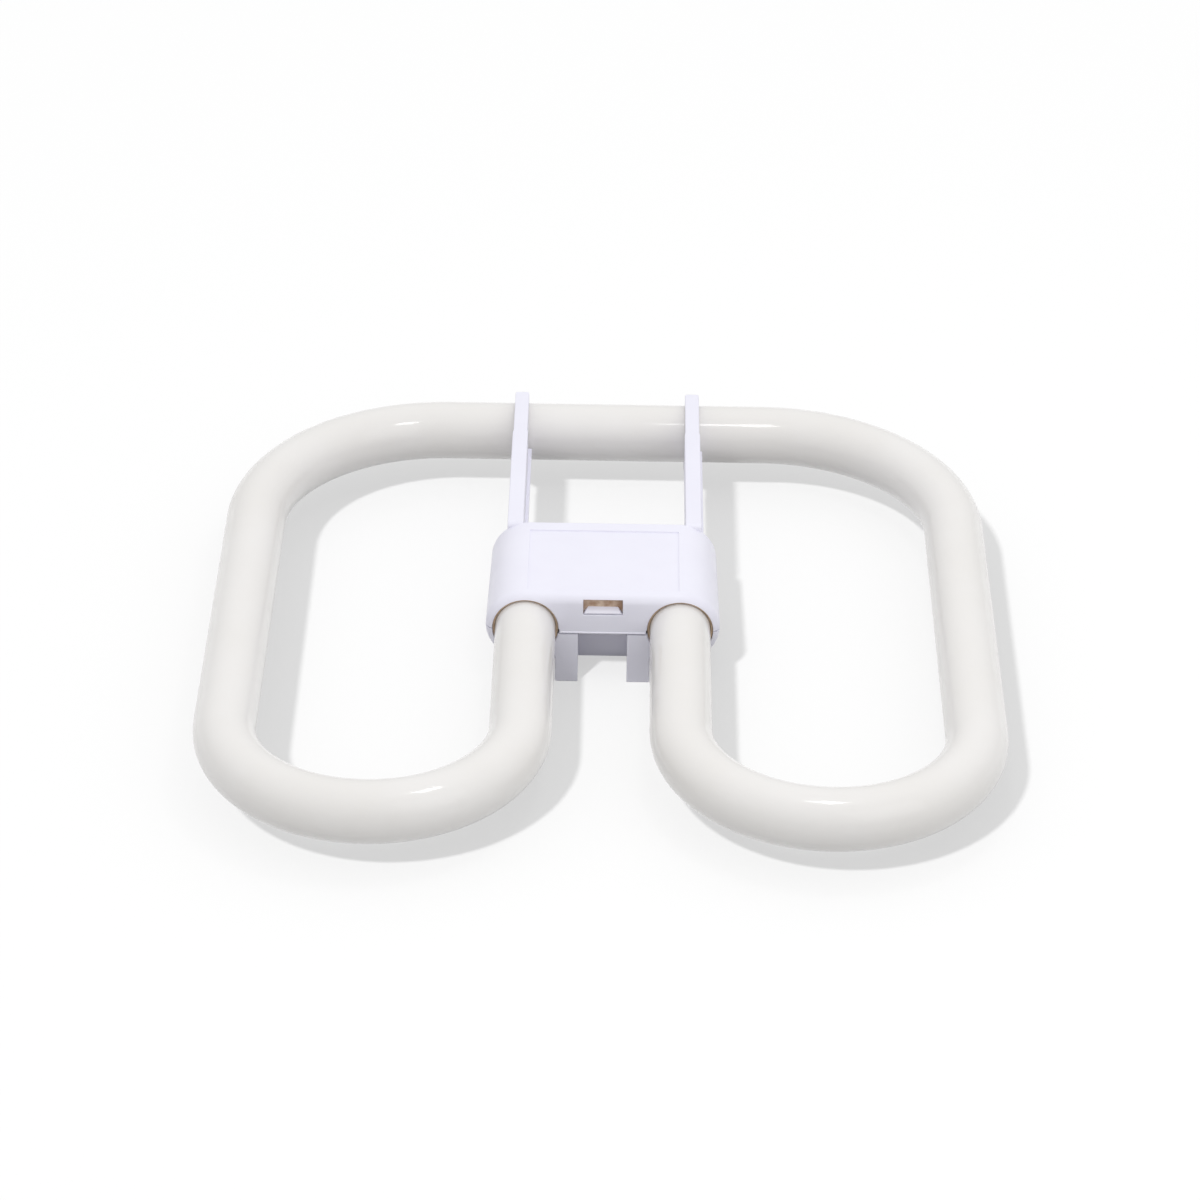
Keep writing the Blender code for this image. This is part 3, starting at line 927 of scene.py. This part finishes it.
def arm_outline():
    """(Y, Z) points of an arm, from its root along the lower edge, round the clip and back."""
    centre = (far_limb_y, axis_z)
    seat_radius = tube_radius + fit_gap
    tip_angle = math.acos(finger_overhang / seat_radius)
    root_y = cap_back_y - cap_wall + root_bite
    root_z = axis_z + root_lift
    drop_y = cap_back_y + fit_gap
    jaw_outside = arc(centre, shell_radius, gusset_angle, jaw_angle, jaw_steps)
    seat = arc(centre, seat_radius, jaw_angle, tip_angle, seat_steps)
    tip_centre = (finger_tip_y - finger_rounding, top_z - finger_rounding)
    root_centre = (root_y + root_rounding, top_z - root_rounding)
    return [
        (root_y, root_z),
        (drop_y, root_z),
        (drop_y, fascia_z),
        (jaw_outside[0][0] - gusset_length, fascia_z),
        *jaw_outside,
        *seat,
        *arc(tip_centre, finger_rounding, 0, math.pi / 2, finger_steps),
        *arc(root_centre, root_rounding, math.pi / 2, math.pi, root_steps),
    ]


print("an arm's outline has", len(arm_outline()), "points")

# %% Arm shapes
arm_edge = 0.35 * MM
tip_rounding = 1.1 * MM
tip_steps = 7
edge_rounding = 0.25 * MM


def arm_half_width(y):
    """Half the arm's width: full, then narrower on the finger, and rounded at the finger's tip."""
    if y < finger_start_y + fit_gap / 2:
        return arm_width / 2
    start_y = finger_tip_y - tip_rounding
    along = min(max((y - start_y) / tip_rounding, 0.0), 1.0)
    return finger_width / 2 - tip_rounding * (1 - math.sqrt(1 - along**2))


def slice_at(shape, point, normal):
    """Add a ring of edges where a plane crosses a shape."""
    bmesh.ops.bisect_plane(shape, geom=everything(shape), plane_co=point, plane_no=normal)


def arm_shape(centre_x):
    """An arm with rounded edges, its finger narrowed and its tip rounded."""
    shape = prism(arm_outline(), "X", centre_x - arm_width / 2, centre_x + arm_width / 2)
    soften(shape, lambda edge: lies(edge, 0, edge.verts[0].co.x), arm_edge)
    tip_arc = arc((0, 0), tip_rounding, math.pi / 2, 0, tip_steps)
    cuts = [finger_tip_y - tip_rounding + across for across, up in tip_arc[:-1]]
    for plane_y in (finger_start_y, finger_start_y + fit_gap, *cuts):
        slice_at(shape, (0, plane_y, 0), (0, 1, 0))
    for corner in shape.verts:
        share = arm_half_width(corner.co.y) / (arm_width / 2)
        corner.co.x = centre_x + (corner.co.x - centre_x) * share
    return shape


arm_lip_depth = 0.6 * MM
arm_lip_reach = 0.9 * MM
arm_lip_low_z = fascia_z + 0.05 * MM
arm_lip_high_z = fascia_z + 1.2 * MM
arm_lip_end_y = far_limb_y - tube_radius - 1.5 * MM


def arm_lip_shape(centre_x):
    """The narrow lip along the lower right edge of an arm."""
    edge_x = centre_x + arm_width / 2
    low = (edge_x - arm_lip_depth, cap_back_y + 2 * fit_gap, arm_lip_low_z)
    return box(low, (edge_x + arm_lip_reach, arm_lip_end_y, arm_lip_high_z), edge_rounding)


print("arms stand", mm(arm_spacing), "mm apart")

# %% [markdown]
# ## The cap's cover
# The upper half of the cap carries the fascia, the windows and both arms. It is one moulding, so it
# is one piece here: the half section is hollowed, trimmed and pierced, and the arms are joined on.
# On its top is a shallow plain field with a thin step round it, and a fine bead runs along the
# fascia's lower edge, where it catches the light.
# %% Carve the cover
fascia_half_width = limb_x - mouth_radius - fit_gap
panel_width = 40.0 * MM
panel_depth = 0.35 * MM
panel_front_y = cap_front_y + 3.2 * MM
panel_back_y = cap_back_y - 4.5 * MM
panel_edge = 0.12 * MM
panel_edge_steps = 2
bead_radius = 0.3 * MM
bead_rise = 0.2 * MM
bead_sides = 24


def trimming_boxes():
    """What comes off the lower edge, so that only the fascia reaches below the seam."""
    below = fascia_z - overreach
    start_y = inner_front_y + cut_step
    made = [box((-far_out, start_y, below), (far_out, cap_back_y + overreach, axis_z))]
    for side in (-1, 1):
        near, far = sorted((side * fascia_half_width, side * far_out))
        low = (near, cap_front_y - overreach, below)
        made.append(box(low, (far, start_y + cut_step, axis_z)))
    return made


def fascia_bead():
    """The fine bead along the fascia's lower edge."""
    centre = (cap_front_y + bead_radius - bead_rise, fascia_z + bead_radius)
    outline = arc(centre, bead_radius, 0, 2 * math.pi, bead_sides)[:-1]
    half_width = fascia_half_width - bead_radius
    return prism(outline, "X", -half_width, half_width)


def cover_shape():
    panel = box(
        (-panel_width / 2, panel_front_y, top_z - panel_depth),
        (panel_width / 2, panel_back_y, top_z + margin),
        panel_edge,
        panel_edge_steps,
    )
    steps = [
        *[cut(chamber, inside_finish) for chamber in chambers(1)],
        *[cut(trim, plastic_finish) for trim in trimming_boxes()],
        *tube_cuts(),
        cut(window_tool(cap_front_y, 1), plastic_finish),
        cut(window_tool(cap_back_y, -1), plastic_finish),
        cut(panel, plastic_finish),
        join(fascia_bead(), plastic_finish),
    ]
    for centre_x in (-arm_spacing / 2, arm_spacing / 2):
        steps.append(join(arm_shape(centre_x), plastic_finish))
        steps.append(join(arm_lip_shape(centre_x), plastic_finish))
    return carve(outside_half(fascia_z, 1), plastic_finish, steps)


cover, cover_finishes = cover_shape()
print("the carved cover has", len(cover.faces), "faces")

# %% Soften the cover's lower edges
side_margin = 0.1 * MM


def along_sides(height):
    """Picks the edges at one height along the two outer sides of the cap."""
    side_x = limb_x + shell_radius - side_draft - side_margin

    def wanted(edge):
        return lies(edge, 2, height) and all(abs(corner.co.x) > side_x for corner in edge.verts)

    return wanted


print("side edges:", soften(cover, along_sides(axis_z), edge_rounding))
finish_piece("cap_cover_moulding", cover, cover_finishes, "cap_cover", even=True)

# %% [markdown]
# ## The cap's lower half
# The lower half is a shallow tray of the same section on a hollow block. A lampholder slides into
# the deep recess in the block's front, between two side walls. Two tongues stand up behind the
# cover's windows. They close the windows from inside, and their sloped teeth hold the halves
# together.
# %% Sizes of the block
block_width = 25.0 * MM
block_length = 32.0 * MM
block_corner = 0.45 * MM
recess_width = 13.0 * MM
recess_back_y = cap_front_y + 12.9 * MM
pocket_back_y = recess_back_y + 5.2 * MM
pin_wall_back_y = pocket_back_y + 2.0 * MM
roof_z = seam_z - 1.0 * MM
pocket_floor_z = roof_z - 8.0 * MM
under_shell_z = axis_z - shell_radius / 2
print("the recess is", mm(recess_back_y - cap_front_y), "mm deep")

# %% Tongues
tongue_play = 0.1 * MM
tongue_face = cap_wall + fit_gap + tongue_play
tongue_thickness = 1.2 * MM
tongue_overlap = 0.4 * MM


def upright(end_y, inward, outline, half_width):
    """Push an outline of (depth, Z) points across. Depths run inwards from an end face."""
    placed = [(end_y + inward * depth, z) for depth, z in outline]
    return prism(placed, "X", -half_width, half_width)


def tongue_shape(end_y, inward, root_z, root_depth):
    """A tongue that closes a window from inside, with a deeper root where one is asked for."""
    back = tongue_face + tongue_thickness
    head_z = axis_z + inner_radius - tongue_overlap
    step_z = axis_z - 2 * seam_gap
    outline = [(root_depth, root_z), (root_depth, step_z), (tongue_face, step_z)]
    outline += [(tongue_face, head_z), (back, head_z), (back, root_z)]
    if root_depth == tongue_face:
        outline = outline[:1] + outline[3:]
    return upright(end_y, inward, outline, window_width / 2 + tongue_overlap)


print("tongues are", mm(tongue_thickness), "mm thick")

# %% Teeth
tooth_setback = 0.1 * MM
tooth_face_height = 0.3 * MM
tooth_height = 1.35 * MM
tooth_taper = 1.0 * MM
taper_start = 0.15 * MM


def tooth_shape(end_y, inward):
    """The sloped tooth on a tongue, narrowed towards its top."""
    catch_z = window_bottom_z + fit_gap
    tip_z = catch_z + tooth_height
    middle = tongue_face + tongue_thickness / 2
    outline = [
        (middle, catch_z),
        (tooth_setback, catch_z),
        (tooth_setback, catch_z + tooth_face_height),
        (tongue_face, tip_z),
        (middle, tip_z),
    ]
    shape = upright(end_y, inward, outline, window_width / 2 - fit_gap)
    taper_z = catch_z + taper_start
    slice_at(shape, (0, 0, taper_z), (0, 0, 1))
    for corner in shape.verts:
        share = max(corner.co.z - taper_z, 0) / (tip_z - taper_z)
        corner.co.x -= math.copysign(tooth_taper * share, corner.co.x)
    return shape


print("teeth stand", mm(tongue_face - tooth_setback), "mm proud of their tongues")

# %% Pins and the recess
pin_radius = 1.0 * MM
pin_across = 4.0 * MM
pin_up = 1.9 * MM
pin_mid_z = (roof_z + pocket_floor_z) / 2 + 0.2 * MM
pin_places = [
    (across * pin_across, pin_mid_z + up * pin_up) for across in (-1, 1) for up in (-1, 1)
]


def socket_void():
    """The recess, with the deeper pocket that shields the pins."""
    before = cap_front_y - overreach
    below = foot_z - overreach
    outline = [
        (before, below),
        (recess_back_y, below),
        (recess_back_y, pocket_floor_z),
        (pocket_back_y, pocket_floor_z),
        (pocket_back_y, roof_z),
        (before, roof_z),
    ]
    return prism(outline, "X", -recess_width / 2, recess_width / 2)


def base_hollow():
    """The inside of the base: two chambers and the block's hollow, less the socket's walls."""
    front, back = chambers(-1)
    inside = box(
        (-block_width / 2 + cap_wall, inner_front_y + cut_step, foot_z + cap_wall),
        (block_width / 2 - cap_wall, cap_front_y + block_length - cap_wall, under_shell_z),
    )
    housing = box(
        (-recess_width / 2 - cap_wall, cap_front_y - cap_wall, foot_z - cap_wall),
        (recess_width / 2 + cap_wall, pin_wall_back_y, top_z),
    )
    steps = [join(back, inside_finish), join(inside, inside_finish), cut(housing, inside_finish)]
    return carve(front, inside_finish, steps)[0]


print("pins:", [(mm(x), mm(z)) for x, z in pin_places])

# %% Carve the base
block_steps = 4
hole_sides = 32
front_root_z = seam_z - 0.5 * MM
back_root_z = axis_z - 5.0 * MM


def pin_hole(x, z):
    """A rod that cuts a pin's hole."""
    radius = pin_radius + fit_gap
    return rod(x, z, radius, pocket_back_y - margin, pin_wall_back_y + margin, hole_sides)


def base_shape():
    block = box(
        (-block_width / 2, cap_front_y, foot_z),
        (block_width / 2, cap_front_y + block_length, under_shell_z),
        block_corner,
        block_steps,
    )
    notch = box(
        (-fascia_half_width - seam_gap, cap_front_y - margin, fascia_z - seam_gap),
        (fascia_half_width + seam_gap, inner_front_y + fit_gap, axis_z + margin),
    )
    steps = [
        join(block, plastic_finish),
        cut(base_hollow(), inside_finish),
        cut(socket_void(), plastic_finish),
        cut(notch, plastic_finish),
        *tube_cuts(),
        *[cut(pin_hole(x, z), plastic_finish) for x, z in pin_places],
        join(tongue_shape(cap_front_y, 1, front_root_z, tongue_face), inside_finish),
        join(tongue_shape(cap_back_y, -1, back_root_z, cap_wall / 2), inside_finish),
        join(tooth_shape(cap_front_y, 1), plastic_finish),
        join(tooth_shape(cap_back_y, -1), plastic_finish),
    ]
    return carve(outside_half(seam_z, -1), plastic_finish, steps)


base, base_finishes = base_shape()
print("the carved base has", len(base.faces), "faces")


# %% Soften the base's edges
def round_recess(edge):
    """Picks the recess's edges in the front face and in the foot."""
    inside = all(
        abs(corner.co.x) < recess_width / 2 + tiny
        and corner.co.y < recess_back_y + tiny
        and corner.co.z < roof_z + tiny
        for corner in edge.verts
    )
    return inside and (lies(edge, 1, cap_front_y) or lies(edge, 2, foot_z))


print("side edges:", soften(base, along_sides(seam_z), edge_rounding))
print("recess edges:", soften(base, round_recess, edge_rounding))
finish_piece("cap_base_moulding", base, base_finishes, "cap_base", even=True)

# %% [markdown]
# ## Cement rings
# The tan ring in each mouth is cement that was pressed in round the tube end. Its body lies behind
# the front wall, and a thin lip of it has squeezed forward into the gap between glass and plastic,
# where it shows as a crescent. It is turned from one profile with a rounded front.
# %% Turn the cement rings
cement_play = 0.03 * MM
cement_clearance = 0.25 * MM
cement_setback = 0.75 * MM
cement_length = 5.0 * MM
cement_nose_steps = 8


def cement_shape(side):
    lip_inside = tube_radius + cement_play
    lip_outside = mouth_radius - cement_play
    body_inside = tube_radius + cement_clearance
    body_outside = inner_radius - cement_clearance
    body_y = inner_front_y + fit_gap
    back_y = body_y + cement_length
    half = (lip_outside - lip_inside) / 2
    nose_y = cap_front_y + cement_setback + half
    nose = arc((lip_inside + half, 0), half, math.pi, 0, cement_nose_steps)
    profile = [(nose_y - rise, radius) for radius, rise in nose]
    profile += [(body_y, lip_outside), (body_y, body_outside), (back_y, body_outside)]
    profile += [(back_y, body_inside), (body_y, body_inside), (body_y, lip_inside), profile[0]]
    return turned(profile, side * limb_x, axis_z, mouth_sides)


for hand, side in (("left", -1), ("right", 1)):
    ring_name, node = f"cement_ring_{hand}", f"cement_bead_{hand}"
    finish_piece(ring_name, cement_shape(side), [cement_finish], node)

# %% [markdown]
# ## Contact pins and lead wires
# Four brass pins stand in the wall behind the recess. Each is turned: a round nose, a plain shank,
# a collar with broken edges behind the wall, and a tail for its wire. The wires are already in the
# engineering model and lie inside the closed cap, so they keep their shape and only get their
# metal.
# %% Turn the pins
pin_reach = 7.4 * MM
collar_radius = 1.6 * MM
collar_length = 0.8 * MM
tail_radius = 0.8 * MM
tail_length = 2.0 * MM
broken_edge = 0.1 * MM
pin_sides = 40
pin_nose_steps = 10


def pin_shape(x, z):
    tip_y = pocket_back_y - pin_reach
    collar_y = pin_wall_back_y + fit_gap
    tail_y = collar_y + collar_length
    end_y = tail_y + tail_length
    collar_edge, tail_edge = collar_radius - broken_edge, tail_radius - broken_edge
    nose = arc((0, 0), pin_radius, math.pi / 2, 0, pin_nose_steps)
    profile = [(tip_y + pin_radius - depth, radius) for radius, depth in nose]
    profile += [(collar_y, pin_radius), (collar_y, collar_edge)]
    profile += [(collar_y + broken_edge, collar_radius), (tail_y - broken_edge, collar_radius)]
    profile += [(tail_y, collar_edge), (tail_y, tail_radius)]
    profile += [(end_y - broken_edge, tail_radius), (end_y, tail_edge), (end_y, 0)]
    return turned(profile, x, z, pin_sides)


for number, (x, z) in enumerate(pin_places, start=1):
    pin_name = f"brass_pin_{number}"
    finish_piece(pin_name, pin_shape(x, z), [brass_finish], f"contact_pin_{number}")

# %% Give the wires their metal
for number in range(1, len(pin_places) + 1):
    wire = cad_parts[f"lead_wire_{number}"]
    for material_slot in wire.material_slots:
        material_slot.material = wire_finish
    print(wire.name, "keeps its shape")

# %% [markdown]
# ## The floor
# The lamp lies on a plain white floor. A floor bright enough to render pure white would need more
# light than the object can stand, so part of its white is added only for the camera, for mirrors
# and for glass. The rest is real, so the floor still takes the lamp's shadow and still throws light
# back up at it.
# %% Floor
floor_grey = 0.215
floor_lift = 0.53
floor_half_side = 6.0


def floor_paper():
    made, tree, shader, place = new_finish("floor_paper")
    path = add_node(tree, "LightPath").outputs
    shown = math_node(tree, "MAXIMUM", path["Is Camera Ray"], path["Is Glossy Ray"])
    shown = math_node(tree, "MAXIMUM", shown, path["Is Transmission Ray"])
    feed_all(
        tree,
        shader,
        Base_Color=(floor_grey, floor_grey, floor_grey, 1),
        Roughness=1.0,
        Specular_IOR_Level=0.0,
        Emission_Color=(1, 1, 1, 1),
        Emission_Strength=math_node(tree, "MULTIPLY", shown, floor_lift),
    )
    return made


sheet = bmesh.new()
bmesh.ops.create_grid(sheet, x_segments=1, y_segments=1, size=floor_half_side)
floor = add_object("floor", as_mesh("floor", sheet, [floor_paper()]))
print("the floor's own grey is", floor_grey)

# %% [markdown]
# ## The light
# The photo was taken in a bright, even room: the tube is brightest on top and darkens smoothly
# towards the floor. A plain white surround gives that, a little dimmer near the floor than
# overhead. A small softbox overhead makes the short highlights on the bends, and a wide weak one at
# the front right opens the face of the cap. The last lamp is a sun that lights only the floor, from
# the front left, and makes the shadow beside the lamp.
# %% Lamps
def aimed_light(name, kind, place, energy):
    """A light at a place, turned to face the middle of the object."""
    data = bpy.data.lights.new(name, kind)
    data.energy = energy
    made = add_object(name, data)
    made.location = place
    made.rotation_mode = "QUATERNION"
    made.rotation_quaternion = (-Vector(place)).to_track_quat("-Z", "Y")
    return made


def softbox(name, place, side, watts):
    """A square area light."""
    made = aimed_light(name, "AREA", place, watts)
    made.data.shape = "SQUARE"
    made.data.size = side


softbox("small softbox", (0.06, -0.06, 0.40), side=0.07, watts=0.12)
softbox("wide softbox", (0.60, -0.70, 0.75), side=0.8, watts=1.0)
shadow_maker = aimed_light("shadow maker", "SUN", (-0.45, -0.75, 1.10), energy=4.7)
shadow_maker.data.angle = math.radians(4.0)
only_floor = bpy.data.collections.new("only the floor")
only_floor.objects.link(floor)
shadow_maker.light_linking.receiver_collection = only_floor
print("lamps:", len(bpy.data.lights))

# %% Surround
horizon_strength = 0.74
zenith_strength = 0.975
full_height = 0.6
world = bpy.data.worlds.new("studio")
scene.world = world
world.use_nodes = True
sky = world.node_tree
direction = add_node(sky, "TexCoord").outputs["Generated"]
height = add_node(sky, "SeparateXYZ", Vector=direction).outputs["Z"]
fade = add_node(
    sky,
    "MapRange",
    Value=height,
    From_Min=0.0,
    From_Max=full_height,
    To_Min=horizon_strength,
    To_Max=zenith_strength,
)
feed_all(sky, sky.nodes["Background"], Color=(1, 1, 1, 1), Strength=fade.outputs[0])
scene.view_settings.view_transform = "Standard"
print("the surround shines at", horizon_strength, "to", zenith_strength)

# %% [markdown]
# ## The camera
# The photo looks down at about a third of a right angle, from far enough away that the lines hardly
# converge. The camera stands on that line of sight, with a small roll, and its lens is shifted by
# less than a hundredth of the frame to put the lamp where the photo has it.
# %% Camera
elevation = math.radians(32.312)
azimuth = math.radians(0.144)
roll = math.radians(0.866)
distance = 1.1352
target = Vector((0.0, 0.15 * MM, axis_z))
turn = (
    Matrix.Rotation(azimuth, 4, "Z")
    @ Matrix.Rotation(math.pi / 2 - elevation, 4, "X")
    @ Matrix.Rotation(roll, 4, "Z")
)
backwards = (turn @ Vector((0, 0, 1))).normalized()
camera_data = bpy.data.cameras.new("camera")
camera_data.lens = 128.384
camera_data.sensor_width = 36.0
camera_data.shift_x = -0.00255
camera_data.shift_y = 0.00852
camera = add_object("camera", camera_data)
camera.matrix_world = Matrix.Translation(target + backwards * distance) @ turn
scene.camera = camera
print("the camera stands", round(distance, 3), "m away")
